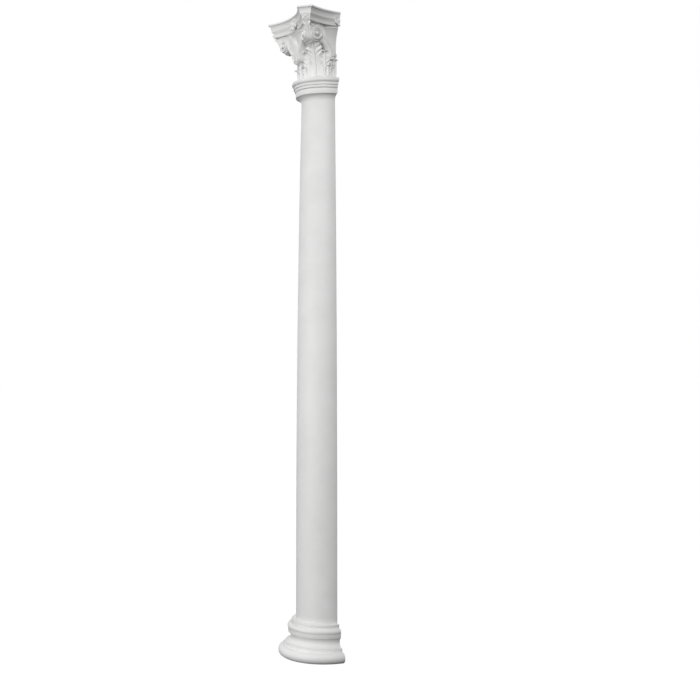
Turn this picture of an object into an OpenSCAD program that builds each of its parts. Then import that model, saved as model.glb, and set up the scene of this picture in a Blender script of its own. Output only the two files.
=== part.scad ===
// Half column for an interior wall: a round base, a plain swelling shaft and a leafy capital.
// Each is one hollow casting with a flat open back, and each rests on the one below it.
// Millimetres, +Z up. The half round faces -Y, and the flat back is the +Y side of the part.

/* [Shaft] */
// Length of the shaft between the base and the capital
shaft_len = 2020; // [1200:10:2800]
// Radius at the foot of the shaft
foot_r = 111; // [80:1:140]
// Radius at the neck, just under the flared lip
neck_r = 90; // [70:1:110]
// Power of the curve that thins the shaft from foot to neck
entasis = 2.3; // [1.2:0.1:3]
// How far the lip stands out past the neck
lip_out = 22.5; // [10:0.5:40]
// Height of the upright band of the lip
lip_band_h = 20; // [8:1:40]
// Wall thickness of the shaft
shaft_wall = 12; // [6:1:20]

/* [Base] */
// Height of the base
base_h = 137; // [115:1:170]
// How far the lower torus stands out past the foot of the shaft
torus_out = 68.5; // [55:0.5:85]
// Half the height of the lower torus
torus_r = 20; // [16:0.5:24]
// Half the height of the upper torus
upper_torus_r = 12; // [10:0.5:14]
// Wall thickness of the base and thickness of its top plate
base_wall = 12; // [9:0.5:15]

/* [Capital] */
// Height of the capital
cap_h = 280; // [230:1:340]
// Half the width of the abacus, horn to horn
abacus_half = 179; // [145:1:215]
// How far each side of the abacus dips in at its middle
abacus_dip = 39; // [25:1:50]
// Width of the abacus between the cut corners of one side
abacus_side_w = 275; // [230:1:300]
// Thickness of the abacus
abacus_h = 50; // [40:1:60]
// Radius of the big corner volutes
volute_r = 34; // [28:1:40]
// Radius of the small curls beside the middle of each side
curl_r = 15; // [12:1:18]
// Wall thickness of the capital and thickness of its plates
cap_wall = 11; // [8:1:14]

/* [Hidden] */
$fn = 96;

// Shaft, worked out
flare_h = lip_out;
lip_r = neck_r + lip_out;
shaft_z = base_h;
neck_z = shaft_len - lip_band_h - flare_h;
shaft_steps = 20;

// Base, worked out from the foot of the shaft: each moulding's reach past it
base_torus_r = foot_r + torus_out;
fillet_out = 43;
scotia_out = 20.5;
band_out = 30.5;
upper_torus_out = 33;
seat_out = 17;
seat_h = 9;
fillet_h = 12;
fillet_z = 2 * torus_r;
upper_torus_z = base_h - seat_h - upper_torus_r - 5;
scotia_z0 = fillet_z + fillet_h;
scotia_z1 = upper_torus_z - upper_torus_r - 8;
base_hole_r = foot_r - shaft_wall - 7;

// Capital, worked out
cap_z = base_h + shaft_len;
cap_hole_r = neck_r - shaft_wall - 10;
ring_r = lip_r + 14.5;
ring_z = 30.5;
ring_tube = 9;
leaf_z = 44;
bell_r = neck_r + 8;
abacus_z = cap_h - abacus_h;
abacus_mid = abacus_half - abacus_dip;
half_side = abacus_side_w / 2;
side_r = (pow(half_side, 2) + pow(abacus_dip, 2)) / (2 * abacus_dip);
side_c = abacus_mid + side_r;
abacus_in = 18;
bell_lip_r = abacus_mid - abacus_in - 4;
scroll_in = 27;
scroll_thick = 20;
petal_r = 8;
volute_s = half_side - volute_r - 12;
volute_z = abacus_z - volute_r - 5;
curl_s = curl_r - 2;
curl_z = leaf_z + 72;
corner_leaf_z = volute_z - 18;
side_leaf_z = curl_z - 12;
low_leaf_z = leaf_z + 60;

// The wall plane is half the depth behind the origin
depth = max(base_torus_r, abacus_half);
axis_y = depth / 2;

// Points of an arc from angle a0 to a1 about a centre
function arc(centre, r, a0, a1, n) =
    [for (i = [0:n]) let (a = a0 + (a1 - a0) * i / n) centre + r * [cos(a), sin(a)]];

// Points of a cubic curve through four handles
function bezier(p, n) = [for (i = [0:n]) let (t = i / n, u = 1 - t)
    u * u * u * p[0] + 3 * u * u * t * p[1] + 3 * u * t * t * p[2] + t * t * t * p[3]];

// Radius of the shaft at height z above its foot
function shaft_r(z) = foot_r - (foot_r - neck_r) * pow(z / neck_z, entasis);

// Turns a profile half way round, on the room side of the wall
module half_lathe() { rotate([0, 0, 180]) rotate_extrude(angle = 180) children(); }

// Everything behind the wall plane
module behind_wall(h) {
    translate([-2 * depth, 0, -1]) cube([4 * depth, 2 * depth, h + 2]);
}

module base_profile() {
    difference() {
        union() {
            // lower torus, flat underneath
            intersection() {
                translate([base_torus_r - torus_r, torus_r - 1]) circle(torus_r);
                square([base_torus_r + 1, 3 * torus_r]);
            }
            square([base_torus_r - torus_r, fillet_z - 1]);
            square([foot_r + fillet_out, fillet_z + fillet_h]);
            // block of the scotia and the band above it
            square([foot_r + band_out, upper_torus_z]);
            translate([foot_r + upper_torus_out - upper_torus_r, upper_torus_z]) circle(upper_torus_r);
            square([foot_r + seat_out - 2, base_h]);
            translate([0, base_h - seat_h]) square([foot_r + seat_out, seat_h]);
        }
        // scotia
        translate([foot_r + scotia_out + (scotia_z1 - scotia_z0) / 2, (scotia_z0 + scotia_z1) / 2])
            circle((scotia_z1 - scotia_z0) / 2);
        base_hollow();
    }
}

// Hollow of the base: wide in the torus, narrower behind the scotia, then the hole in the seat
module base_hollow() {
    wide_r = foot_r + fillet_out - base_wall - 2;
    narrow_r = foot_r + scotia_out - base_wall - 2;
    polygon([
        [0, -1], [wide_r, -1], [wide_r, fillet_z], [narrow_r, scotia_z0 + 8],
        [narrow_r, base_h - base_wall], [base_hole_r, base_h - base_wall],
        [base_hole_r, base_h + 1], [0, base_h + 1]
    ]);
}

module base() {
    color("white") translate([0, axis_y, 0]) half_lathe() base_profile();
}

// Outline of the shaft wall: swelling face outside, the same less the wall inside
module shaft_profile() {
    outer = [for (i = [0:shaft_steps]) let (z = neck_z * i / shaft_steps) [shaft_r(z), z]];
    inner = [for (i = [shaft_steps:-1:0]) let (z = neck_z * i / shaft_steps)
        [shaft_r(z) - shaft_wall, z]];
    flare = arc([neck_r + flare_h, neck_z], flare_h, 180, 90, 8);
    polygon(concat(
        outer, [for (i = [1:8]) flare[i]], [[lip_r, shaft_len], [neck_r - shaft_wall, shaft_len]], inner
    ));
}

module shaft() {
    color("white") translate([0, axis_y, shaft_z]) half_lathe() shaft_profile();
}

// Ring and bell of the capital, from the fillets over the shaft's lip to the lip under the abacus
module bell_profile() {
    union() {
        polygon([
            [0, 0], [lip_r - 1.5, 0], [lip_r + 3.5, 3], [lip_r + 3.5, 12], [lip_r + 8, 13],
            [lip_r + 8, 19], [ring_r - ring_tube, 22], [ring_r - ring_tube, 39],
            [bell_r + 5, 44], [bell_r, 52],
            each bezier([[bell_r, volute_z - 40], [bell_r, volute_z],
                [bell_lip_r - 10, abacus_z - 22], [bell_lip_r - 2, abacus_z - 8]], 6),
            [bell_lip_r, abacus_z - 7], [bell_lip_r, abacus_z + 1], [0, abacus_z + 1]
        ]);
        translate([ring_r - ring_tube, ring_z]) circle(ring_tube);
    }
}

// Hollow of the capital, closed by the plate under the ring and by the top of the abacus
module cap_hollow() {
    low_r = bell_r - cap_wall;
    high_r = bell_lip_r - cap_wall;
    polygon([
        [0, -1], [cap_hole_r, -1], [cap_hole_r, cap_wall], [low_r, cap_wall],
        [low_r, volute_z - 40], [high_r, abacus_z - 4], [high_r, cap_h - cap_wall],
        [0, cap_h - cap_wall]
    ]);
}

// What the abacus mouldings leave free, as reach inwards (x) and height (y), from its top edge:
// an upright foot, a slope with a hollow in it, a step, a quarter-round cove and the top band
module abacus_cut(reach) {
    band = 6;
    cove_in = 10;
    slope_z = abacus_z + 10;
    step_z = cap_h - band - 20;
    cove_h = cap_h - band - step_z;
    polygon(concat(
        [[-reach, abacus_z - 1], [abacus_in, abacus_z - 1]],
        bezier([[abacus_in, slope_z], [abacus_in - 1, slope_z + 7],
            [cove_in + 3, step_z - 7], [cove_in + 2, step_z - 1]], 2),
        [[cove_in, step_z - 1]],
        [for (a = [0:30:60]) [cove_in * cos(a), step_z + cove_h * sin(a)]],
        [[0, cap_h - band], [0, cap_h + 1], [-reach, cap_h + 1]]
    ));
}

module abacus() {
    difference() {
        translate([0, 0, abacus_z]) linear_extrude(abacus_h) polygon([
            [-abacus_half, 0], [-abacus_half, -half_side], [-half_side, -abacus_half],
            [half_side, -abacus_half], [abacus_half, -half_side], [abacus_half, 0]
        ]);
        // the three hollow sides
        for (a = [-90, 0, 90]) rotate([0, 0, a]) translate([0, -side_c, 0])
            rotate_extrude() intersection() {
                translate([side_r, 0]) abacus_cut(side_r);
                square([side_c, cap_h + 2]);
            }
        // the two cut horns
        for (a = [-45, 45]) rotate([0, 0, a])
            translate([-depth, -(half_side + abacus_half) / sqrt(2), 0])
                rotate([90, 0, 90]) linear_extrude(2 * depth) abacus_cut(depth);
    }
}

// Lobed outline of a leaf, h high from its foot: widest at two thirds, notched between lobes
function leaf_half(w, v, lobes) =
    w * (0.55 + 0.45 * sin(180 * min(1, v * 0.8 + 0.1))) * sqrt(max(0, 1 - pow(v, 6)))
    * (1 - 0.22 * pow(cos(180 * lobes * v), 2));

module leaf_outline(w, h, lobes) {
    n = 6 * lobes;
    right = [for (i = [0:n]) [leaf_half(w, i / n, lobes), h * i / n]];
    left = [for (i = [n - 1:-1:0]) [-leaf_half(w, i / n, lobes), h * i / n]];
    polygon(concat(right, left));
}

// One acanthus leaf: a blade against the bell whose tip rolls outwards, cut to the lobed outline
module leaf(turn, w, top_z, out, lobes) {
    h = top_z - leaf_z;
    tip_r = min(11, h / 6);
    rotate([0, 0, turn]) intersection() {
        rotate([0, 0, -90 - 32]) rotate_extrude(angle = 64) difference() {
            union() {
                polygon([
                    [bell_r - 3, leaf_z - 3], [bell_r + 5, leaf_z - 3], [bell_r + out * 0.5, leaf_z + 12],
                    [bell_r + out * 0.6, top_z - 3 * tip_r], [bell_r + out, top_z - tip_r],
                    [bell_r + out, top_z], [bell_r - 3, top_z]
                ]);
                translate([bell_r + out, top_z - tip_r]) circle(tip_r);
            }
            translate([bell_r + out + tip_r * 0.3, top_z - 2.4 * tip_r]) circle(tip_r * 0.8);
        }
        translate([0, 0, leaf_z - 3]) rotate([90, 0, 0])
            linear_extrude(2 * depth) leaf_outline(w, h + 3, lobes);
    }
}

// Ridge that winds in to the eye of a volute, turning like a clock hand from angle a0
function spiral(r, turns, a0, n) = [for (i = [0:n]) let (t = i / n, a = a0 - 360 * turns * t)
    r * pow(0.25, t) * [cos(a), sin(a)]];

module volute_ridge(r, w, turns, a0) {
    n = 28;
    outer = spiral(r, turns, a0, n);
    polygon([for (i = [0:n]) outer[i], for (i = [n:-1:0]) outer[i] * (1 - w / r * (1 - 0.2 * i / n))]);
}

// Scroll from the small curl beside the middle of a side up to the big volute under the horn,
// drawn flat with x from the middle of the side to the horn and y up
module scroll_band() {
    outer = bezier([[curl_s, curl_z + curl_r], [curl_s + curl_r + 4, volute_z - 20],
        [volute_s - volute_r, volute_z + volute_r * 0.7], [volute_s, volute_z + volute_r]], 12);
    inner = bezier([[volute_s - 8, volute_z + 4], [volute_s - volute_r * 0.7, volute_z - 10],
        [curl_s + curl_r + 16, curl_z - 4], [curl_s, curl_z - curl_r]], 10);
    polygon(concat(outer, inner));
}

module scroll(thick) {
    linear_extrude(thick) scroll_band();
    linear_extrude(thick) translate([volute_s, volute_z]) circle(volute_r - 1);
    linear_extrude(thick) translate([curl_s, curl_z]) circle(curl_r - 1);
    linear_extrude(thick + 4) translate([volute_s, volute_z]) volute_ridge(volute_r, 7, 1.6, 110);
    translate([volute_s, volute_z, thick - 2]) cylinder(r = 8, h = 8);
    linear_extrude(thick + 3) translate([curl_s, curl_z])
        mirror([0, 1]) volute_ridge(curl_r, 4, 1.2, 20);
    translate([curl_s, curl_z, thick - 1]) cylinder(r = 4, h = 5);
}

// The scrolls of one side, on the flat through the side's hollow under the abacus: hands holds
// 0 for the one to the right of the middle and 1 for its mirror image to the left
module side_scrolls(turn, hands) {
    rho = side_r + scroll_in;
    a = asin(volute_s / rho) / 2;
    rotate([0, 0, turn]) for (hand = hands) mirror([hand, 0, 0])
        translate([0, -side_c + rho, 0]) rotate([90, 0, -a])
            translate([0, 0, -scroll_thick]) scroll(scroll_thick);
}

// Solid corner behind the two volutes of a horn, swelling outwards from the bell to the abacus
module horn_web(turn) {
    spread = 16;
    reach = sqrt(2) * (half_side - volute_r * 0.5);
    foot_z = volute_z - volute_r - 12;
    difference() {
        rotate([0, 0, turn - 90 - spread]) rotate_extrude(angle = 2 * spread) polygon([
            [bell_r - 5, foot_z],
            each bezier([[bell_r, foot_z], [bell_r + 12, foot_z + 20], [reach - 22, volute_z - 30],
                [reach - 4, volute_z]], 8),
            [reach, abacus_z + 1], [bell_r - 5, abacus_z + 1]
        ]);
        for (a = [-90, 0, 90]) rotate([0, 0, a]) translate([0, -side_c, 0])
            cylinder(r = side_r + scroll_in + 4, h = cap_h);
    }
}

// Flower at the middle of each side of the abacus: five petals round a button
module fleuron(turn) {
    rotate([0, 0, turn]) translate([0, -abacus_mid + 22, cap_h - abacus_h / 2 + 2]) rotate([90, 0, 0]) {
        cylinder(r1 = petal_r, r2 = petal_r * 0.6, h = 26);
        for (i = [0:4]) rotate(72 * i + 90) translate([petal_r * 1.25, 0, 0])
            cylinder(r1 = petal_r, r2 = petal_r * 0.8, h = 21);
    }
}

module capital_solid() {
    difference() {
        union() {
            half_lathe() bell_profile();
            abacus();
            side_scrolls(-90, [0]);
            side_scrolls(0, [0, 1]);
            side_scrolls(90, [1]);
            for (a = [-45, 45]) horn_web(a);
            for (a = [-45, 45]) leaf(a, 33, corner_leaf_z, 24, 4);
            for (a = [-90, 0, 90]) leaf(a, 28, side_leaf_z, 12, 3);
            for (a = [-67.5, -22.5, 22.5, 67.5]) leaf(a, 20, low_leaf_z, 9, 2);
            for (a = [-90, 0, 90]) fleuron(a);
        }
        half_lathe() cap_hollow();
        behind_wall(cap_h);
    }
}

module capital() {
    color("white") translate([0, axis_y, cap_z]) capital_solid();
}

base();
shaft();
capital();
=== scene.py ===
"""A half column for an interior wall: round base, swelling shaft and leafy capital.

Each of the three castings is one closed shell with an open flat back. The visual castings
stand exactly where the frame's own nodes stand, and the studio around them is plain white.
"""
import logging
import math
from dataclasses import dataclass, field
from enum import Enum
from typing import Callable, Sequence

import bpy
from mathutils import Matrix, Vector


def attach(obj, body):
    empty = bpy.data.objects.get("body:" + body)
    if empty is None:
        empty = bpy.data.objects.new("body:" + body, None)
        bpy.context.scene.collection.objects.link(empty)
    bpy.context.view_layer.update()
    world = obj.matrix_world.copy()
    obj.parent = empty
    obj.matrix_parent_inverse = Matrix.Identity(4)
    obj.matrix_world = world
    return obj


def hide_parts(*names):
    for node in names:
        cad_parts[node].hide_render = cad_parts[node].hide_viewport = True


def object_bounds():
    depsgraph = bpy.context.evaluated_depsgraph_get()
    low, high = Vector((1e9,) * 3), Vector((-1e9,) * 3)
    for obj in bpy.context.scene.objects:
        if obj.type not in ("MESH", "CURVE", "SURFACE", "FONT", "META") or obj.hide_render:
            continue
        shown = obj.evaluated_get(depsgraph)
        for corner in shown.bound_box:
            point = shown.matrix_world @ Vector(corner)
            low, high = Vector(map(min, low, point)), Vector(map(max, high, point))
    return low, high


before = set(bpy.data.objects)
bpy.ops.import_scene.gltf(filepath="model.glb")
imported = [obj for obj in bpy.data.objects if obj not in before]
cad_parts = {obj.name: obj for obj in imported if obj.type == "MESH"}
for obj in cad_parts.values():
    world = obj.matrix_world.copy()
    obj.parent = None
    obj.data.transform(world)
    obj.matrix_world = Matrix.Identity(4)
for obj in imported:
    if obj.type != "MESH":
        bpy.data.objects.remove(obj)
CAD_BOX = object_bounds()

LOG = logging.getLogger("half_column")
MM = 0.001
ARRIS = 0.8
ARRIS_ANGLE = 42.0
SHARP_TURNED = 32.0
SHARP_CARVED = 38.0

Flat = tuple[float, float]
Spot = tuple[float, float, float]
Placing = Callable[[float, float], Spot]


class Side(Enum):
    """The three free sides of the half capital, by their turn about the column's axis."""

    LEFT = -90.0
    FRONT = 0.0
    RIGHT = 90.0


# ---------------------------------------------------------------- curves

def arc(centre: Flat, radius: float, start: float, end: float, steps: int) -> list[Flat]:
    """Points along an arc.

    Args:
        centre: The arc's centre.
        radius: Its radius.
        start: Angle of the first point, in degrees.
        end: Angle of the last point, in degrees.
        steps: How many pieces the arc is cut into.

    Returns:
        The points from start to end.
    """
    turns = [math.radians(start + (end - start) * i / steps) for i in range(steps + 1)]
    return [(centre[0] + radius * math.cos(a), centre[1] + radius * math.sin(a)) for a in turns]


def bezier(handles: Sequence[Flat], steps: int) -> list[Flat]:
    """Points along a cubic curve.

    Args:
        handles: The curve's four handles.
        steps: How many pieces it is cut into.

    Returns:
        The points from the first handle to the last.
    """
    points = []
    for i in range(steps + 1):
        t = i / steps
        shares = ((1 - t) ** 3, 3 * t * (1 - t) ** 2, 3 * t * t * (1 - t), t ** 3)
        points.append(tuple(sum(k * h[axis] for k, h in zip(shares, handles)) for axis in (0, 1)))
    return points


def ease(low: float, high: float, value: float) -> float:
    """Rises smoothly from 0 at low to 1 at high.

    Args:
        low: Where the rise starts.
        high: Where it ends.
        value: Where it is read.

    Returns:
        The share of the rise, from 0 to 1.
    """
    t = min(1.0, max(0.0, (value - low) / (high - low)))
    return t * t * (3 - 2 * t)


# ---------------------------------------------------------------- modelling

def only(piece: bpy.types.Object) -> None:
    """Makes a piece the one that is selected and active.

    Args:
        piece: The piece to select.
    """
    bpy.ops.object.select_all(action="DESELECT")
    piece.select_set(True)
    bpy.context.view_layer.objects.active = piece


def outward(piece: bpy.types.Object) -> None:
    """Merges the doubles of a closed piece and turns all its faces outwards.

    Args:
        piece: The piece to clean.
    """
    only(piece)
    bpy.ops.object.mode_set(mode="EDIT")
    bpy.ops.mesh.select_all(action="SELECT")
    bpy.ops.mesh.remove_doubles(threshold=0.00001)
    bpy.ops.mesh.normals_make_consistent(inside=False)
    bpy.ops.object.mode_set(mode="OBJECT")


def lathe(name: str, outline: Sequence[Flat], turn: float, steps: int) -> bpy.types.Object:
    """Traces an outline and spins it about the column's axis.

    Args:
        name: Name of the new piece.
        outline: Radii and heights in millimetres: closed for a part turn, and running
            from the axis back to the axis for a full turn.
        turn: How far it spins, in degrees, from the +X side through the room side.
        steps: Number of steps of the spin.

    Returns:
        The closed piece, about an axis at the origin.
    """
    bpy.ops.object.select_all(action="DESELECT")
    bpy.ops.mesh.primitive_plane_add(size=MM)
    piece = bpy.context.object
    piece.name = name
    bpy.ops.object.mode_set(mode="EDIT")
    bpy.ops.mesh.merge(type="CENTER")
    here = (0.0, 0.0, 0.0)
    for index, (radius, height) in enumerate(outline):
        there = (radius * MM, 0.0, height * MM)
        step = tuple(b - a for a, b in zip(here, there))
        if index == 0:
            bpy.ops.transform.translate(value=step)
        else:
            bpy.ops.mesh.extrude_vertices_move(TRANSFORM_OT_translate={"value": step})
        here = there
    bpy.ops.mesh.select_all(action="SELECT")
    if turn < 360:
        bpy.ops.mesh.edge_face_add()
    bpy.ops.mesh.spin(steps=steps, angle=math.radians(turn), center=(0, 0, 0), axis=(0, 0, 1))
    bpy.ops.object.mode_set(mode="OBJECT")
    outward(piece)
    return piece


def tube(name: str, around: int, along: int, place: Placing) -> bpy.types.Object:
    """Bends a grid into a closed tube, joins its seam and fills its two ends.

    Args:
        name: Name of the new piece.
        around: Number of faces round the tube.
        along: Number of faces along it.
        place: Gives the place in millimetres for a share round the tube and a share along it.

    Returns:
        The closed piece.
    """
    bpy.ops.object.select_all(action="DESELECT")
    bpy.ops.mesh.primitive_grid_add(x_subdivisions=around, y_subdivisions=along, size=2)
    piece = bpy.context.object
    piece.name = name
    for vertex in piece.data.vertices:
        round_share = (vertex.co.x + 1) / 2 % 1.0
        if round_share > 1 - 0.25 / around:
            round_share = 0.0
        vertex.co = Vector(place(round_share, (vertex.co.y + 1) / 2)) * MM
    only(piece)
    bpy.ops.object.mode_set(mode="EDIT")
    bpy.ops.mesh.select_all(action="SELECT")
    bpy.ops.mesh.remove_doubles(threshold=0.000005)
    bpy.ops.mesh.fill_holes(sides=0)
    bpy.ops.object.mode_set(mode="OBJECT")
    outward(piece)
    return piece


def turned(piece: bpy.types.Object, degrees: float, mirrored: bool = False) -> bpy.types.Object:
    """Turns a piece's mesh about the column's axis, or its mirror image.

    Args:
        piece: The piece, modelled at the front.
        degrees: How far it turns, counter-clockwise from above.
        mirrored: Whether left and right are swapped first.

    Returns:
        The same piece.
    """
    flip = Matrix.Scale(-1, 4, Vector((1, 0, 0))) if mirrored else Matrix.Identity(4)
    piece.data.transform(Matrix.Rotation(math.radians(degrees), 4, "Z") @ flip)
    if mirrored:
        outward(piece)
    return piece


def carve(piece: bpy.types.Object, other: bpy.types.Object, operation: str) -> None:
    """Joins another closed piece to this one, or cuts it away, and removes the other.

    Args:
        piece: The piece that stays.
        other: The piece that is used up.
        operation: UNION or DIFFERENCE.
    """
    only(piece)
    step = piece.modifiers.new(operation.title(), "BOOLEAN")
    step.operation = operation
    step.solver = "MANIFOLD"
    step.object = other
    bpy.ops.object.modifier_apply(modifier=step.name)
    bpy.data.objects.remove(other)


def soften(piece: bpy.types.Object, width: float, angle: float) -> None:
    """Rounds the arrises of a casting.

    Args:
        piece: The casting.
        width: Width of the rounding in millimetres.
        angle: Least angle between two faces that is rounded, in degrees.
    """
    only(piece)
    step = piece.modifiers.new("Arris", "BEVEL")
    step.width = width * MM
    step.segments = 2
    step.limit_method = "ANGLE"
    step.angle_limit = math.radians(angle)
    step.harden_normals = False
    bpy.ops.object.modifier_apply(modifier=step.name)


def smooth(piece: bpy.types.Object, angle: float) -> None:
    """Shades a piece smooth except over sharp edges.

    Args:
        piece: The piece to shade.
        angle: Edges sharper than this many degrees stay sharp.
    """
    only(piece)
    bpy.ops.object.shade_smooth_by_angle(angle=math.radians(angle))


# ---------------------------------------------------------------- finish

@dataclass(frozen=True)
class PrimedFoam:
    """White factory primer on moulded foam: a faint mottle and a very fine orange peel."""

    pale: tuple[float, float, float, float] = (0.845, 0.845, 0.84, 1.0)
    dull: tuple[float, float, float, float] = (0.80, 0.80, 0.795, 1.0)
    roughness: float = 0.52
    mottle_scale: float = 9.0
    peel_scale: float = 900.0
    peel_height: float = 0.00012

    def material(self, name: str) -> bpy.types.Material:
        """Builds the material.

        Args:
            name: Name of the material.

        Returns:
            The material, with its pattern on object coordinates.
        """
        made = bpy.data.materials.new(name)
        made.use_nodes = True
        nodes, links = made.node_tree.nodes, made.node_tree.links
        shader = nodes["Principled BSDF"]
        shader.inputs["Roughness"].default_value = self.roughness
        shader.inputs["IOR"].default_value = 1.46
        place = nodes.new("ShaderNodeTexCoord")
        mottle = nodes.new("ShaderNodeTexNoise")
        mottle.inputs["Scale"].default_value = self.mottle_scale
        mottle.inputs["Detail"].default_value = 6.0
        mottle.inputs["Roughness"].default_value = 0.6
        tint = nodes.new("ShaderNodeValToRGB")
        tint.color_ramp.elements[0].position = 0.32
        tint.color_ramp.elements[0].color = self.dull
        tint.color_ramp.elements[1].position = 0.62
        tint.color_ramp.elements[1].color = self.pale
        peel = nodes.new("ShaderNodeTexNoise")
        peel.inputs["Scale"].default_value = self.peel_scale
        peel.inputs["Detail"].default_value = 2.0
        bump = nodes.new("ShaderNodeBump")
        bump.inputs["Strength"].default_value = 0.35
        bump.inputs["Distance"].default_value = self.peel_height
        links.new(place.outputs["Object"], mottle.inputs["Vector"])
        links.new(place.outputs["Object"], peel.inputs["Vector"])
        links.new(mottle.outputs["Fac"], tint.inputs["Fac"])
        links.new(tint.outputs["Color"], shader.inputs["Base Color"])
        links.new(peel.outputs["Fac"], bump.inputs["Height"])
        links.new(bump.outputs["Normal"], shader.inputs["Normal"])
        return made


# ---------------------------------------------------------------- castings

@dataclass
class Casting:
    """What the three castings share: their place, their finish and their node in the frame."""

    material: bpy.types.Material
    node: str

    def settle(self, piece: bpy.types.Object, height: float, sharp: float) -> bpy.types.Object:
        """Puts a finished casting in its place, dresses it and lets it stand for its node.

        Args:
            piece: The casting, about an axis at the origin and with its foot at zero.
            height: Height of its foot above the floor, in millimetres.
            sharp: Edges sharper than this many degrees stay crisp.

        Returns:
            The same piece.
        """
        wall_y = CAD_BOX[1][1]
        piece.data.transform(Matrix.Translation((0, wall_y, height * MM)))
        piece.data.materials.clear()
        piece.data.materials.append(self.material)
        smooth(piece, sharp)
        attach(piece, "root")
        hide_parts(self.node)
        LOG.info("%s: %d vertices", piece.name, len(piece.data.vertices))
        return piece


@dataclass
class BaseCasting(Casting):
    """Round Attic base: two tori with a hollow between them, on a broad flat foot."""

    node: str = "base"
    height: float = 137.0
    foot_r: float = 111.0
    wall: float = 12.0
    torus: float = 20.0
    torus_out: float = 68.5
    upper_torus: float = 12.0
    upper_out: float = 33.0
    fillet_out: float = 43.0
    fillet_h: float = 12.0
    scotia_out: float = 20.5
    band_out: float = 30.5
    seat_out: float = 17.0
    seat_h: float = 9.0
    neck_h: float = 5.0
    neck_in: float = 2.0
    band_h: float = 8.0
    hole_in: float = 7.0
    lining: float = 2.0

    def outline(self) -> list[Flat]:
        """Outline of the wall: up the mouldings outside and down the hollow inside.

        Returns:
            The points, from the foot's outer edge to its inner edge.
        """
        fillet_z = 2 * self.torus
        upper_z = self.height - self.seat_h - self.neck_h - self.upper_torus
        low, high = fillet_z + self.fillet_h, upper_z - self.upper_torus - self.band_h
        scoop = (high - low) / 2
        torus_mid = (self.foot_r + self.torus_out - self.torus, self.torus - 1)
        foot = math.degrees(math.asin(-torus_mid[1] / self.torus))
        fillet_r = self.foot_r + self.fillet_out
        torus_end = math.degrees(math.acos((fillet_r - torus_mid[0]) / self.torus))
        scoop_mid = (self.foot_r + self.scotia_out + scoop, (low + high) / 2)
        band_r = self.foot_r + self.band_out
        scoop_top = 180 - math.degrees(math.acos((scoop_mid[0] - band_r) / scoop))
        upper_mid = (self.foot_r + self.upper_out - self.upper_torus, upper_z)
        upper_low = -math.degrees(math.acos((band_r - upper_mid[0]) / self.upper_torus))
        neck_r = self.foot_r + self.seat_out - self.neck_in
        upper_high = 180 - math.degrees(math.acos((upper_mid[0] - neck_r) / self.upper_torus))
        inner_low = fillet_r - self.wall - self.lining
        inner_high = self.foot_r + self.scotia_out - self.wall - self.lining
        hole_r = self.foot_r - self.wall - self.hole_in
        seat_r = self.foot_r + self.seat_out
        seat_z = self.height - self.seat_h
        top = self.height
        return (
            arc(torus_mid, self.torus, foot, torus_end, 26)
            + [(fillet_r, low)]
            + arc(scoop_mid, scoop, 270, scoop_top, 20)
            + arc(upper_mid, self.upper_torus, upper_low, upper_high, 18)
            + [(neck_r, seat_z), (seat_r, seat_z), (seat_r, top), (hole_r, top)]
            + [(hole_r, top - self.wall), (inner_high, top - self.wall)]
            + [(inner_high, low + self.band_h)]
            + [(inner_low, fillet_z), (inner_low, 0.0)]
        )

    def build(self) -> bpy.types.Object:
        """Spins the base, rounds its arrises and settles it on the floor.

        Returns:
            The finished casting.
        """
        piece = lathe("base_casting", self.outline(), 180, 120)
        soften(piece, ARRIS, ARRIS_ANGLE)
        return self.settle(piece, 0.0, SHARP_TURNED)


@dataclass
class ShaftCasting(Casting):
    """Plain half-round shaft that swells from neck to foot, with a flared lip at the top."""

    node: str = "shaft"
    foot_z: float = 137.0
    length: float = 2020.0
    foot_r: float = 111.0
    neck_r: float = 90.0
    entasis: float = 2.3
    lip_out: float = 22.5
    lip_band: float = 20.0
    wall: float = 12.0
    steps: int = 48

    def radius(self, height: float) -> float:
        """Outer radius of the shaft at a height above its foot, up to the neck."""
        neck_z = self.length - self.lip_band - self.lip_out
        return self.foot_r - (self.foot_r - self.neck_r) * (height / neck_z) ** self.entasis

    def outline(self) -> list[Flat]:
        """Outline of the wall: swelling face, flare and lip outside, the same curve inside.

        Returns:
            The points, from the foot's outer edge to its inner edge.
        """
        neck_z = self.length - self.lip_band - self.lip_out
        heights = [neck_z * i / self.steps for i in range(self.steps + 1)]
        face = [(self.radius(z), z) for z in heights]
        flare = arc((self.neck_r + self.lip_out, neck_z), self.lip_out, 180, 90, 12)[1:]
        lip_r = self.neck_r + self.lip_out
        inside = [(self.radius(z) - self.wall, z) for z in reversed(heights)]
        lip = [(lip_r, self.length), (self.neck_r - self.wall, self.length)]
        return face + flare + lip + inside

    def build(self) -> bpy.types.Object:
        """Spins the shaft, rounds its arrises and seats it on the base.

        Returns:
            The finished casting.
        """
        piece = lathe("shaft_casting", self.outline(), 180, 96)
        soften(piece, ARRIS, ARRIS_ANGLE)
        return self.settle(piece, self.foot_z, SHARP_TURNED)


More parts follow.
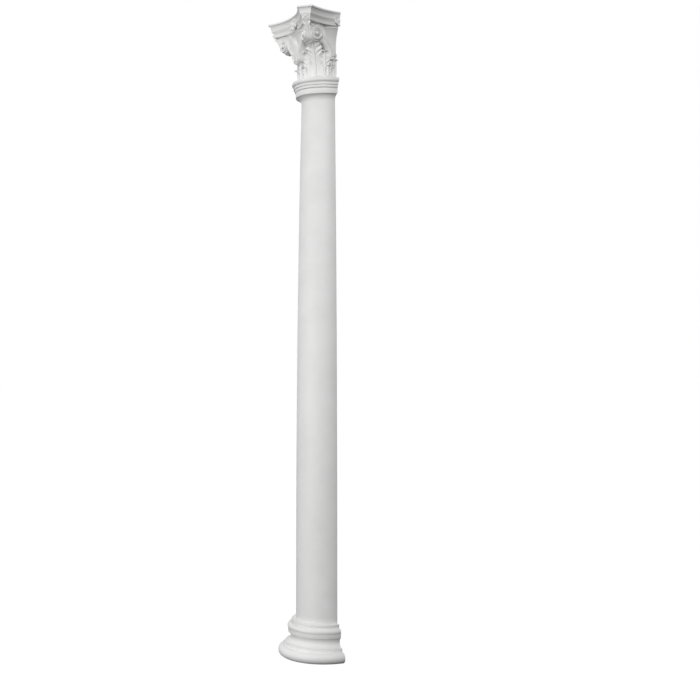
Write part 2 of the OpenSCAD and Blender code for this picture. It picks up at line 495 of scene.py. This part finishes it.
@dataclass
class CapitalSizes:
    """Sizes that the capital's members share, in millimetres and degrees."""

    height: float = 280.0
    wall: float = 11.0
    lip_r: float = 112.5
    bell_r: float = 98.0
    abacus_h: float = 50.0
    abacus_half: float = 179.0
    abacus_dip: float = 39.0
    abacus_side: float = 275.0
    abacus_in: float = 18.0
    hole_r: float = 68.0
    volute_r: float = 34.0
    scroll_in: float = 27.0

    @property
    def abacus_z(self) -> float:
        """Height of the underside of the abacus."""
        return self.height - self.abacus_h

    @property
    def half_side(self) -> float:
        """Half the width of a side between the cut corners."""
        return self.abacus_side / 2

    @property
    def side_r(self) -> float:
        """Radius of the hollow in each side of the abacus."""
        return (self.half_side ** 2 + self.abacus_dip ** 2) / (2 * self.abacus_dip)

    @property
    def side_c(self) -> float:
        """Distance of that hollow's centre from the column's axis."""
        return self.abacus_half - self.abacus_dip + self.side_r

    @property
    def horn_reach(self) -> float:
        """Distance of the cut horns from the axis."""
        return (self.half_side + self.abacus_half) / math.sqrt(2)

    @property
    def bell_lip_r(self) -> float:
        """Radius of the bell's lip under the abacus."""
        return self.abacus_half - self.abacus_dip - self.abacus_in - 4

    @property
    def volute_z(self) -> float:
        """Height of the eyes of the big volutes."""
        return self.abacus_z - self.volute_r - 3

    @property
    def volute_s(self) -> float:
        """Distance of the big volutes' eyes from the middle of their side."""
        return self.half_side - self.volute_r - 8


@dataclass
class Bell:
    """Bell of the capital with the ring and the fillets under it, solid."""

    sizes: CapitalSizes
    bands: tuple[Flat, ...] = ((-1.5, 0.0), (3.5, 3.0), (3.5, 11.5), (8.0, 12.5), (8.0, 19.0))
    ring_tube: float = 9.0
    ring_out: float = 14.5
    ring_z: float = 30.5
    skirt: float = 5.0
    skirt_low: float = 44.0
    skirt_high: float = 52.0

    def outline(self) -> list[Flat]:
        """Outline of the solid: stepped bands, ring, skirt, flare and lip.

        Returns:
            The points, from the axis at the underside, up the outside and back to the axis.
        """
        s = self.sizes
        ring_mid = (s.lip_r + self.ring_out - self.ring_tube, self.ring_z)
        ring_top = self.ring_z + self.ring_tube + 0.5
        flare = bezier([(s.bell_r, s.volute_z - 40), (s.bell_r, s.volute_z),
                        (s.bell_lip_r - 10, s.abacus_z - 22),
                        (s.bell_lip_r - 2, s.abacus_z - 8)], 14)
        return (
            [(0, 0)]
            + [(s.lip_r + out, height) for out, height in self.bands]
            + [(ring_mid[0], 21)]
            + arc(ring_mid, self.ring_tube, -86, 90, 16)
            + [(ring_mid[0] - 6, ring_top), (s.bell_r + self.skirt, self.skirt_low)]
            + [(s.bell_r, self.skirt_high)]
            + flare
            + [(s.bell_lip_r, s.abacus_z - 7), (s.bell_lip_r, s.abacus_z + 1)]
            + [(0, s.abacus_z + 1)]
        )

    def build(self) -> bpy.types.Object:
        """Spins the bell all the way round."""
        return lathe("bell", self.outline(), 360, 192)


@dataclass
class Abacus:
    """Slab with three hollow sides, two cut horns and a moulding that follows them."""

    sizes: CapitalSizes
    band: float = 6.0
    cove_h: float = 20.0
    cove_in: float = 10.0
    arris: float = 1.2
    quirk: float = 1.5
    behind: float = 3.0
    side_steps: int = 22

    def moulding(self) -> list[Flat]:
        """Courses of the moulding, from the foot up.

        Returns:
            For each course, how far it lies in from the top edge, and its height.
        """
        s = self.sizes
        step_z = s.height - self.band - self.cove_h
        slope = bezier([(s.abacus_in, s.abacus_z + 10), (s.abacus_in - 1, s.abacus_z + 17),
                        (self.cove_in + 3, step_z - 7),
                        (self.cove_in + 2, step_z - self.quirk)], 6)
        bends = [math.radians(a) for a in range(0, 91, 9)]
        cove = [(self.cove_in * math.cos(a), step_z + self.cove_h * math.sin(a)) for a in bends]
        return (
            [(s.abacus_in + self.arris, s.abacus_z), (s.abacus_in, s.abacus_z + self.arris)]
            + slope
            + [(self.cove_in, step_z - self.quirk)]
            + cove
            + [(0.0, s.height - self.arris), (self.arris, s.height)]
        )

    def rim(self, inset: float) -> list[Flat]:
        """Plan of the slab, inset evenly: right side, front, left side, with the horns between.

        Args:
            inset: How far the plan lies in from the top edge.

        Returns:
            The points of the plan, which runs on a little behind the wall.
        """
        s = self.sizes
        radius = s.side_r + inset
        lean = (s.horn_reach - inset - s.side_c / math.sqrt(2)) / radius
        half = 45 + math.degrees(math.asin(lean))
        right = [(s.side_c - radius * math.cos(a), -radius * math.sin(a))
                 for a in self.turns(-self.behind, half)]
        front = [(-radius * math.sin(a), -s.side_c + radius * math.cos(a))
                 for a in self.turns(-half, half)]
        left = [(-x, y) for x, y in reversed(right)]
        return right + front + left

    def turns(self, start: float, end: float) -> list[float]:
        """Even angles in radians, from start to end in degrees."""
        steps = range(self.side_steps + 1)
        return [math.radians(start + (end - start) * i / self.side_steps) for i in steps]

    def build(self) -> bpy.types.Object:
        """Wraps the moulding round the plan and closes the slab above and below.

        Returns:
            The closed slab.
        """
        courses = self.moulding()
        plans = [self.rim(inset) for inset, _ in courses]
        around, along = len(plans[0]), len(courses) - 1

        def place(share: float, rise: float) -> Spot:
            """Point of the plan at a share of its length, at the course of a share of the rise.

            Args:
                share: Share of the plan's length.
                rise: Share of the slab's courses.

            Returns:
                The place of the point.
            """
            course = round(rise * along)
            x, y = plans[course][round(share * around) % around]
            return x, y, courses[course][1]

        return tube("abacus", around, along, place)


@dataclass
class Leaf:
    """Acanthus leaf that lies on the bell and rolls outwards at its tip."""

    sizes: CapitalSizes
    turn: float
    half_width: float
    tip_z: float
    lean: float
    lobes: int
    curl_r: float = 5.0
    bare: float = 0.2
    depth: float = 1.0
    reeds: float = 1.1
    slim: float = 0.7
    foot_r: float = 102.0
    foot_z: float = 40.0
    rise_power: float = 2.4
    curl_turn: float = 165.0
    thickness: float = 4.0
    root: float = 8.0
    sweep: float = 0.33
    rib: float = 1.5
    groove: float = 1.3
    pipe_pitch: float = 8.0
    lobe_rise: float = 5.4
    lobe_sink: float = 2.9
    edge_fold: float = 2.6
    across: int = 36
    along: int = 72

    def middle(self, share: float) -> tuple[float, float, float]:
        """Middle line of the leaf in the upright plane through the axis.

        Args:
            share: Share of the leaf's length, from its foot.

        Returns:
            Radius, height, and the direction that its face looks, in degrees up from level.
        """
        straight = self.tip_z - self.curl_r - self.foot_z
        slope = self.rise_power * self.lean / straight
        start = math.atan(slope)
        run = share * (straight + self.curl_r * (math.radians(self.curl_turn) - start))
        if run <= straight:
            rise = run / straight
            look = -math.degrees(math.atan(slope * rise ** (self.rise_power - 1)))
            return self.foot_r + self.lean * rise ** self.rise_power, self.foot_z + run, look
        bend = start + (run - straight) / self.curl_r
        return (self.foot_r + self.lean + self.curl_r * (math.cos(start) - math.cos(bend)),
                self.foot_z + straight + self.curl_r * (math.sin(bend) - math.sin(start)),
                -math.degrees(bend))

    def lobe(self, share: float) -> tuple[float, float]:
        """Place within the row of lobes along the leaf's edge.

        Args:
            share: Share of the leaf's length.

        Returns:
            The swell of the lobe and of the tooth there, each from 0 to 1.
        """
        row = max(0.0, share - self.bare) / (1 - self.bare) * self.lobes
        return abs(math.sin(math.pi * row)), abs(math.sin(3 * math.pi * row))

    def width(self, share: float) -> float:
        """Half width of the leaf, with its lobes and teeth.

        Args:
            share: Share of the leaf's length.

        Returns:
            The half width in millimetres.
        """
        swell = self.slim + (1 - self.slim) * ease(0.1, 0.65, share)
        taper = 1 - 0.9 * max(0.0, (share - 0.62) / 0.38) ** 2.2
        lobe, tooth = self.lobe(share)
        notch = 1 - 0.30 * (1 - lobe ** 0.55) - 0.08 * (1 - tooth)
        lobed = 1 + (notch - 1) * ease(0.0, 0.06, share - self.bare)
        return self.half_width * swell * taper * lobed

    def relief(self, side: float, share: float) -> float:
        """Height of the carving over the smooth blade: rib, pipes, lobes and veins.

        Args:
            side: Place across the leaf, from -1 to 1.
            share: Share of the leaf's length.

        Returns:
            The height in millimetres.
        """
        x = abs(side) * self.width(share)
        edge = abs(side)
        lobe, tooth = self.lobe(share)
        leafy = ease(0.0, 0.12, share - self.bare)
        rib = (self.rib * math.exp(-(x / 2.8) ** 2)
               - self.groove * math.exp(-((x - 5.2) / 2.2) ** 2))
        wave = math.cos(2 * math.pi * x / self.pipe_pitch)
        pipes = self.reeds * wave * (1 - ease(0.3, 0.65, share))
        lobes = edge ** 1.2 * (self.lobe_rise * lobe ** 1.5 - self.lobe_sink) * leafy
        veins = edge ** 1.2 * (tooth - 0.5) * leafy
        flick = self.edge_fold * edge ** 4 * lobe * leafy
        fold = -self.edge_fold * edge ** 2
        carving = self.depth * (rib + pipes + lobes + veins + flick + fold)
        return carving * (1 - 0.6 * ease(0.88, 1.0, share))

    def place(self, round_share: float, share: float) -> Spot:
        """Place of a point of the leaf's closed skin.

        Args:
            round_share: Share round the blade: across its face, then back behind it.
            share: Share of the leaf's length.

        Returns:
            The place, for a leaf at the front.
        """
        column = round(round_share * 2 * self.across) % (2 * self.across)
        front = column < self.across
        back_column = 2 * self.across - 1 - column
        side = -1 + 2 * (column if front else back_column) / (self.across - 1)
        lifted = share + self.sweep * abs(side) ** 1.2 * (1 - share) * ease(0.0, 0.3, share)
        radius, height, look = self.middle(lifted)
        body = self.thickness + self.root * (1 - ease(0.35, 0.75, share))
        offset = self.relief(side, share) - (0.0 if front else body)
        facing = math.radians(look)
        radius += offset * math.cos(facing)
        height += offset * math.sin(facing)
        angle = side * self.width(share) / radius
        return radius * math.sin(angle), -radius * math.cos(angle), height

    def build(self) -> bpy.types.Object:
        """Bends and carves the leaf and turns it to its place on the bell."""
        return turned(tube("leaf", 2 * self.across, self.along, self.place), self.turn)


@dataclass
class Scroll:
    """Channelled band that unrolls from a small curl and winds up in a big corner volute."""

    sizes: CapitalSizes
    curl: Flat = (17.0, 120.0)
    curl_r: float = 11.0
    entry_r: float = 30.0
    shrink: float = 0.53
    turns: float = 1.6
    curl_turns: float = 1.2
    depth: float = 20.0
    inner_depth: float = 30.0
    half_low: float = 4.5
    half_high: float = 10.0
    across: int = 17
    curl_steps: int = 25
    stem_steps: int = 26
    volute_steps: int = 60

    def path(self) -> list[tuple[float, float, float, float]]:
        """Middle line of the band on its flat.

        Returns:
            For each point: place from the side's middle, height, half width and rise of the face.
        """
        s = self.sizes
        eye = (s.volute_s, s.volute_z)
        points = []
        for i in range(self.curl_steps + 1):
            t = i / self.curl_steps
            turn = math.radians(-360 * self.curl_turns * (1 - t))
            radius = self.curl_r * (0.25 + 0.75 * t ** 0.8)
            points.append((self.curl[0] + radius * math.cos(turn),
                           self.curl[1] + radius * math.sin(turn), 1.6 + 2.9 * t, 4.0 * (1 - t)))
        start = points[-1]
        stem = bezier([(start[0], start[1]), (start[0] + 2, start[1] + 28),
                       (eye[0] - self.entry_r - 7, eye[1] - 24),
                       (eye[0] - self.entry_r, eye[1])], self.stem_steps)
        widening = self.half_high - self.half_low
        for i, (x, z) in enumerate(stem[1:], 1):
            half = self.half_low + widening * ease(0, 1, i / self.stem_steps)
            points.append((x, z, half, 0.0))
        for i in range(1, self.volute_steps + 1):
            t = i / self.volute_steps
            turn = math.radians(180 - 360 * self.turns * t)
            radius = self.entry_r * self.shrink ** (self.turns * t)
            half = 2.2 + 7.8 * (1 - t) ** 1.2
            points.append((eye[0] + radius * math.cos(turn), eye[1] + radius * math.sin(turn),
                           half, 6.5 * ease(0.1, 1.0, t)))
        return points

    def bring_up(self, x: float, z: float, out: float) -> Spot:
        """Takes a point of the flat to its place at the front of the capital.

        Args:
            x: Distance from the side's middle, towards the horn.
            z: Height.
            out: Height above the flat.

        Returns:
            The place, for the scroll to the right of the front's middle.
        """
        s = self.sizes
        rho = s.side_r + s.scroll_in
        tilt = -math.asin(s.volute_s / rho) / 2
        return (x * math.cos(tilt) + out * math.sin(tilt),
                -s.side_c + rho + x * math.sin(tilt) - out * math.cos(tilt), z)

    def band(self) -> bpy.types.Object:
        """Builds the band: two raised rims and a low middle reed, with channels between them.

        Returns:
            The closed band.
        """
        path = self.path()
        around = self.across + 2

        def place(share: float, rise: float) -> Spot:
            """Point of the band's section.

            Args:
                share: Share round the section.
                rise: Share of the path's length.

            Returns:
                The place of the point.
            """
            index = round(rise * (len(path) - 1))
            x, z, half, lift = path[index]
            before, after = path[max(0, index - 1)], path[min(len(path) - 1, index + 1)]
            run = Vector((after[0] - before[0], after[1] - before[1])).normalized()
            column = round(share * around)
            if column < self.across:
                q = -1 + 2 * column / (self.across - 1)
                rim = math.exp(-((abs(q) - 0.8) / 0.16) ** 2) + 0.35 * math.exp(-(q / 0.16) ** 2)
                out = lift + min(4.6, 0.6 * half) * (rim - 0.5 * (abs(q) > 0.94)) + 0.4
            else:
                q = 0.9 if column == self.across else -0.9
                out = -self.depth - self.inner_depth * math.exp(-((x - 58) / 26) ** 2)
            return self.bring_up(x - run.y * half * q, z + run.x * half * q, out)

        return tube("scroll_band", around, len(path) - 1, place)

    def button(self, middle: Flat, radius: float, out: float, rise: float) -> bpy.types.Object:
        """Round boss on the flat, domed in front and sunk deep behind.

        Args:
            middle: Its place on the flat.
            radius: Its radius.
            out: Height of its rim above the flat.
            rise: Height of the dome above the rim.

        Returns:
            The closed boss.
        """
        rings = ([(0.02, -self.depth), (1.0, -self.depth), (1.0, out)]
                 + [(math.cos(math.radians(a)), out + rise * math.sin(math.radians(a)))
                    for a in (18, 36, 54, 70, 82)] + [(0.02, out + rise)])

        def place(share: float, rise_share: float) -> Spot:
            """Point of the boss.

            Args:
                share: Share of a turn.
                rise_share: Share of the rings, from the back to the dome's top.

            Returns:
                The place of the point.
            """
            ring, height = rings[round(rise_share * (len(rings) - 1))]
            turn = 2 * math.pi * share
            return self.bring_up(middle[0] + radius * ring * math.cos(turn),
                                 middle[1] + radius * ring * math.sin(turn), height)

        return tube("boss", 40, len(rings) - 1, place)

    def parts(self) -> list[bpy.types.Object]:
        """Builds the band, the plates behind its two windings, and their eyes.

        Returns:
            The closed pieces.
        """
        s = self.sizes
        eye = (s.volute_s, s.volute_z)
        return [
            self.band(),
            self.button(eye, s.volute_r - 5.5, -2.5, 1.0),
            self.button((eye[0] + 0.5, eye[1] - 1), 8.5, 5.0, 5.5),
            self.button(self.curl, self.curl_r - 1, -1.0, 0.6),
            self.button(self.curl, 3.6, 3.0, 3.0),
        ]


@dataclass
class HornWeb:
    """Solid corner behind the two volutes of a horn, swelling out from the bell."""

    sizes: CapitalSizes
    spread: float = 16.0

    def build(self, turn: float) -> bpy.types.Object:
        """Spins the web's outline and hollows its cheeks to lie behind the scrolls.

        Args:
            turn: Turn of the horn about the axis, in degrees.

        Returns:
            The closed web.
        """
        s = self.sizes
        reach = math.sqrt(2) * (s.half_side - s.volute_r * 0.3)
        foot_z = s.volute_z - s.volute_r - 12
        outline = ([(s.bell_r - 5, foot_z)]
                   + bezier([(s.bell_r, foot_z), (s.bell_r + 12, foot_z + 20),
                             (reach - 22, s.volute_z - 30), (reach - 4, s.volute_z)], 12)
                   + [(s.horn_reach - s.abacus_in - 3, s.abacus_z + 1)]
                   + [(s.bell_r - 5, s.abacus_z + 1)])
        web = lathe("horn_web", outline, 2 * self.spread, 24)
        turned(web, turn + self.spread - 90)
        for side in Side:
            bpy.ops.object.select_all(action="DESELECT")
            bpy.ops.mesh.primitive_cylinder_add(
                vertices=360, radius=(s.side_r + s.scroll_in + 4) * MM, depth=4 * s.height * MM)
            cheek = bpy.context.object
            cheek.data.transform(Matrix.Translation((0, -s.side_c * MM, 0)))
            turned(cheek, side.value)
            carve(web, cheek, "DIFFERENCE")
        return web


@dataclass
class Fleuron:
    """Flower at the middle of a side of the abacus: six cupped petals round a button."""

    sizes: CapitalSizes
    petals: int = 6
    petal_l: float = 20.0
    petal_w: float = 10.0
    petal_t: float = 4.2
    button_r: float = 7.0
    button: tuple[Flat, ...] = ((0.03, -26.0), (1.5, -26.0), (1.45, -2.0), (1.0, 2.0),
                                (0.95, 5.0), (0.75, 7.4), (0.4, 8.8), (0.03, 9.2))
    middle_z: float = 251.0

    def petal(self, turn: float, out: float) -> bpy.types.Object:
        """Builds one petal.

        Args:
            turn: Its turn round the flower, in degrees.
            out: Distance of the flower's back from the column's axis.

        Returns:
            The closed petal.
        """
        def place(share: float, rise: float) -> Spot:
            """Point of the petal.

            Args:
                share: Share round its section.
                rise: Share of its length.

            Returns:
                The place of the point.
            """
            around = 2 * math.pi * share
            wide = self.petal_w * (math.sin(math.pi * (0.12 + 0.86 * rise)) ** 0.6)
            side = wide * math.cos(around)
            cup = 6.0 * rise ** 2 + 3.0 * (side / self.petal_w) ** 2
            thick = self.petal_t * math.sin(around)
            run = 3 + self.petal_l * rise
            a = math.radians(turn)
            return (run * math.cos(a) - side * math.sin(a), -(out + cup + thick),
                    self.middle_z + run * math.sin(a) + side * math.cos(a))

        return tube("petal", 20, 12, place)

    def build(self, side: Side) -> list[bpy.types.Object]:
        """Builds the petals and the button, with the boss that they grow from.

        Args:
            side: The side of the abacus that it sits on.

        Returns:
            The closed pieces.
        """
        s = self.sizes
        out = s.abacus_half - s.abacus_dip - 12
        made = [self.petal(360 * i / self.petals + 90, out) for i in range(self.petals)]
        last = len(self.button) - 1

        def place(share: float, rise: float) -> Spot:
            """Point of the button.

            Args:
                share: Share of a turn.
                rise: Share of the rings, from the back to the dome's top.

            Returns:
                The place of the point.
            """
            ring, height = self.button[round(rise * last)]
            turn = 2 * math.pi * share
            return (self.button_r * ring * math.cos(turn), -(out + height),
                    self.middle_z + self.button_r * ring * math.sin(turn))

        made.append(tube("button", 28, last, place))
        return [turned(piece, side.value) for piece in made]


@dataclass
class CapitalCasting(Casting):
    """Half capital: bell, ring, abacus, horns, scrolls, leaves and flowers, cast as one shell."""

    node: str = "capital"
    foot_z: float = 2157.0
    sizes: CapitalSizes = field(default_factory=CapitalSizes)

    def leaves(self) -> list[Leaf]:
        """Every leaf of the half capital: the five rows, in the order in which they are joined.

        Returns:
            The leaves, from the tall ones under the horns to the buds over the volutes.
        """
        s = self.sizes
        corner = [Leaf(s, turn, 33, s.volute_z - 22, 34, 4, curl_r=9, bare=0.42, depth=1.2,
                       reeds=0.4, slim=0.62, foot_r=100.5, thickness=5)
                  for turn in (-45, 45)]
        between = [Leaf(s, turn, 25, 138, 7, 4, curl_r=6, bare=0.22, depth=1.1, reeds=0.8,
                        foot_r=102.5)
                   for turn in (-65, -25, 25, 65)]
        middle = [Leaf(s, turn, 21, 106, 2.5, 3, curl_r=4.5, reeds=0.8, foot_r=103)
                  for turn in (-90, 0, 90)]
        low = [Leaf(s, turn, 15, 84, 2.5, 3, curl_r=3.2, depth=0.9, reeds=0.6, foot_r=104.5,
                    across=30, along=54)
               for turn in (-72, -18, 18, 72)]
        bud = [Leaf(s, turn, 16, 245, 44, 3, curl_r=8, bare=0.1, depth=0.7, foot_r=168,
                    foot_z=172, rise_power=1.05, curl_turn=80, across=30, along=48)
               for turn in (-45, 45)]
        return corner + between + middle + low + bud

    def scrolls(self) -> list[bpy.types.Object]:
        """Builds the four scrolls: a pair in front, and the near one of each side.

        Returns:
            The closed pieces of all four.
        """
        made = []
        for side, mirrored in ((Side.FRONT, False), (Side.FRONT, True),
                               (Side.LEFT, False), (Side.RIGHT, True)):
            for part in Scroll(self.sizes).parts():
                made.append(turned(part, side.value, mirrored))
        return made

    def hollow(self) -> bpy.types.Object:
        """Builds the hollow behind the bell and the abacus, with the hole in the bottom plate.

        Returns:
            The closed solid to cut away.
        """
        s = self.sizes
        low, high = s.bell_r - s.wall, s.bell_lip_r - s.wall
        return lathe("hollow", [
            (0, -5), (s.hole_r, -5), (s.hole_r, s.wall), (low, s.wall), (low, s.volute_z - 40),
            (high, s.abacus_z - 4), (high, s.height - s.wall), (0, s.height - s.wall)], 360, 144)

    def behind_wall(self) -> bpy.types.Object:
        """Builds a block of everything behind the wall plane.

        Returns:
            The block to cut away.
        """
        reach = 4 * self.sizes.abacus_half * MM
        bpy.ops.object.select_all(action="DESELECT")
        bpy.ops.mesh.primitive_cube_add(size=reach)
        block = bpy.context.object
        block.data.transform(Matrix.Translation((0, reach / 2, 0)))
        return block

    def build(self) -> bpy.types.Object:
        """Unites all the members, hollows the casting and cuts it flat at the wall.

        Returns:
            The finished casting.
        """
        piece = Bell(self.sizes).build()
        piece.name = "capital_casting"
        members = [Abacus(self.sizes).build()]
        members += [HornWeb(self.sizes).build(turn) for turn in (-45, 45)]
        members += self.scrolls()
        members += [leaf.build() for leaf in self.leaves()]
        for side in Side:
            members += Fleuron(self.sizes).build(side)
        for member in members:
            carve(piece, member, "UNION")
        carve(piece, self.hollow(), "DIFFERENCE")
        carve(piece, self.behind_wall(), "DIFFERENCE")
        return self.settle(piece, self.foot_z, SHARP_CARVED)


# ---------------------------------------------------------------- studio

@dataclass(frozen=True)
class Lamp:
    """Soft upright lamp that looks at the middle of the column.

    Its turn is in degrees from the front towards +X, its sizes are in metres, its power in watts.
    """

    name: str
    turn: float
    height: float
    away: float
    width: float
    tall: float
    power: float

    def build(self) -> bpy.types.Object:
        """Hangs the lamp.

        Returns:
            The lamp.
        """
        data = bpy.data.lights.new(self.name, "AREA")
        data.shape = "RECTANGLE"
        data.size = self.width
        data.size_y = self.tall
        data.energy = self.power
        lamp = bpy.data.objects.new(self.name, data)
        bpy.context.scene.collection.objects.link(lamp)
        turn = math.radians(self.turn)
        lamp.location = (math.sin(turn) * self.away, -math.cos(turn) * self.away, self.height)
        look = Vector((0, 0, CAD_BOX[1][2] / 2)) - lamp.location
        lamp.rotation_euler = look.to_track_quat("-Z", "Y").to_euler()
        return lamp


@dataclass
class Studio:
    """Pale floor, white surroundings, soft lamps and the camera."""

    focal: float = 58.38
    turn: float = 63.5
    distance: float = 4.384
    aside: float = 0.097
    eye_height: float = 1.169
    sky_high: float = 0.58
    sky_low: float = 0.16
    sky_side: Spot = (0.1, -0.7, 0.7)
    sky_span: float = 0.7
    floor_tone: float = 0.12
    floor_glow: float = 0.95
    lamps: tuple[Lamp, ...] = (
        Lamp("front_lamp", 6.0, 1.0, 3.6, 1.2, 2.0, 47.0),
        Lamp("side_lamp", 64.0, 3.0, 3.4, 1.0, 1.4, 47.0),
    )

    def floor(self) -> bpy.types.Object:
        """Lays the floor, which shows white to the camera and still takes the shadow.

        Returns:
            The floor.
        """
        bpy.ops.object.select_all(action="DESELECT")
        bpy.ops.mesh.primitive_plane_add(size=60)
        ground = bpy.context.object
        ground.name = "floor"
        made = bpy.data.materials.new("floor_white")
        made.use_nodes = True
        nodes, links = made.node_tree.nodes, made.node_tree.links
        shader = nodes["Principled BSDF"]
        shader.inputs["Base Color"].default_value = (*(self.floor_tone,) * 3, 1)
        shader.inputs["Roughness"].default_value = 0.9
        shader.inputs["Specular IOR Level"].default_value = 0.0
        glow = nodes.new("ShaderNodeEmission")
        path = nodes.new("ShaderNodeLightPath")
        strength = nodes.new("ShaderNodeMath")
        strength.operation = "MULTIPLY"
        strength.inputs[1].default_value = self.floor_glow
        total = nodes.new("ShaderNodeAddShader")
        links.new(path.outputs["Is Camera Ray"], strength.inputs[0])
        links.new(strength.outputs[0], glow.inputs["Strength"])
        links.new(shader.outputs[0], total.inputs[0])
        links.new(glow.outputs[0], total.inputs[1])
        links.new(total.outputs[0], nodes["Material Output"].inputs["Surface"])
        ground.data.materials.append(made)
        return ground

    def surroundings(self) -> None:
        """Makes the world white where it is seen, and else a soft light from above in front."""
        world = bpy.data.worlds.new("surroundings")
        bpy.context.scene.world = world
        world.use_nodes = True
        nodes, links = world.node_tree.nodes, world.node_tree.links
        light = nodes["Background"]
        light.inputs["Color"].default_value = (1, 1, 1, 1)
        place = nodes.new("ShaderNodeTexCoord")
        facing = nodes.new("ShaderNodeVectorMath")
        facing.operation = "DOT_PRODUCT"
        facing.inputs[1].default_value = self.sky_side
        level = nodes.new("ShaderNodeMapRange")
        level.inputs["From Min"].default_value = -self.sky_span
        level.inputs["From Max"].default_value = self.sky_span
        level.inputs["To Min"].default_value = self.sky_low
        level.inputs["To Max"].default_value = self.sky_high
        links.new(place.outputs["Generated"], facing.inputs[0])
        links.new(facing.outputs["Value"], level.inputs["Value"])
        links.new(level.outputs["Result"], light.inputs["Strength"])
        white = nodes.new("ShaderNodeBackground")
        white.inputs["Strength"].default_value = 1.0
        white.inputs["Color"].default_value = (1, 1, 1, 1)
        path = nodes.new("ShaderNodeLightPath")
        either = nodes.new("ShaderNodeMath")
        either.operation = "MAXIMUM"
        seen_at_all = nodes.new("ShaderNodeMath")
        seen_at_all.operation = "MAXIMUM"
        mix = nodes.new("ShaderNodeMixShader")
        links.new(path.outputs["Is Camera Ray"], either.inputs[0])
        links.new(path.outputs["Is Glossy Ray"], either.inputs[1])
        links.new(either.outputs[0], seen_at_all.inputs[0])
        links.new(path.outputs["Is Transmission Ray"], seen_at_all.inputs[1])
        links.new(seen_at_all.outputs[0], mix.inputs["Fac"])
        links.new(light.outputs[0], mix.inputs[1])
        links.new(white.outputs[0], mix.inputs[2])
        links.new(mix.outputs[0], nodes["World Output"].inputs["Surface"])

    def camera(self) -> None:
        """Sets up the camera, level and to the right of the column's front."""
        data = bpy.data.cameras.new("camera")
        data.lens = self.focal
        data.sensor_width = 36.0
        data.clip_end = 200.0
        camera = bpy.data.objects.new("camera", data)
        bpy.context.scene.collection.objects.link(camera)
        a = math.radians(self.turn)
        right = Vector((math.cos(a), math.sin(a), 0))
        ahead = Vector((-math.sin(a), math.cos(a), 0))
        axis = Vector((0, CAD_BOX[1][1], self.eye_height))
        camera.location = axis + right * self.aside - ahead * self.distance
        camera.rotation_euler = ahead.to_track_quat("-Z", "Y").to_euler()
        bpy.context.scene.camera = camera

    def build(self) -> None:
        """Sets up the whole studio."""
        self.floor()
        self.surroundings()
        for lamp in self.lamps:
            lamp.build()
        self.camera()
        bpy.context.scene.view_settings.view_transform = "Standard"


def main() -> None:
    """Builds the castings in order, sets up the studio and notes the sizes."""
    logging.basicConfig(level=logging.INFO, format="%(name)s: %(message)s")
    white = PrimedFoam().material("primed_foam")
    for casting in (BaseCasting(material=white), ShaftCasting(material=white),
                    CapitalCasting(material=white)):
        casting.build()
    Studio().build()


if __name__ == "__main__":
    main()
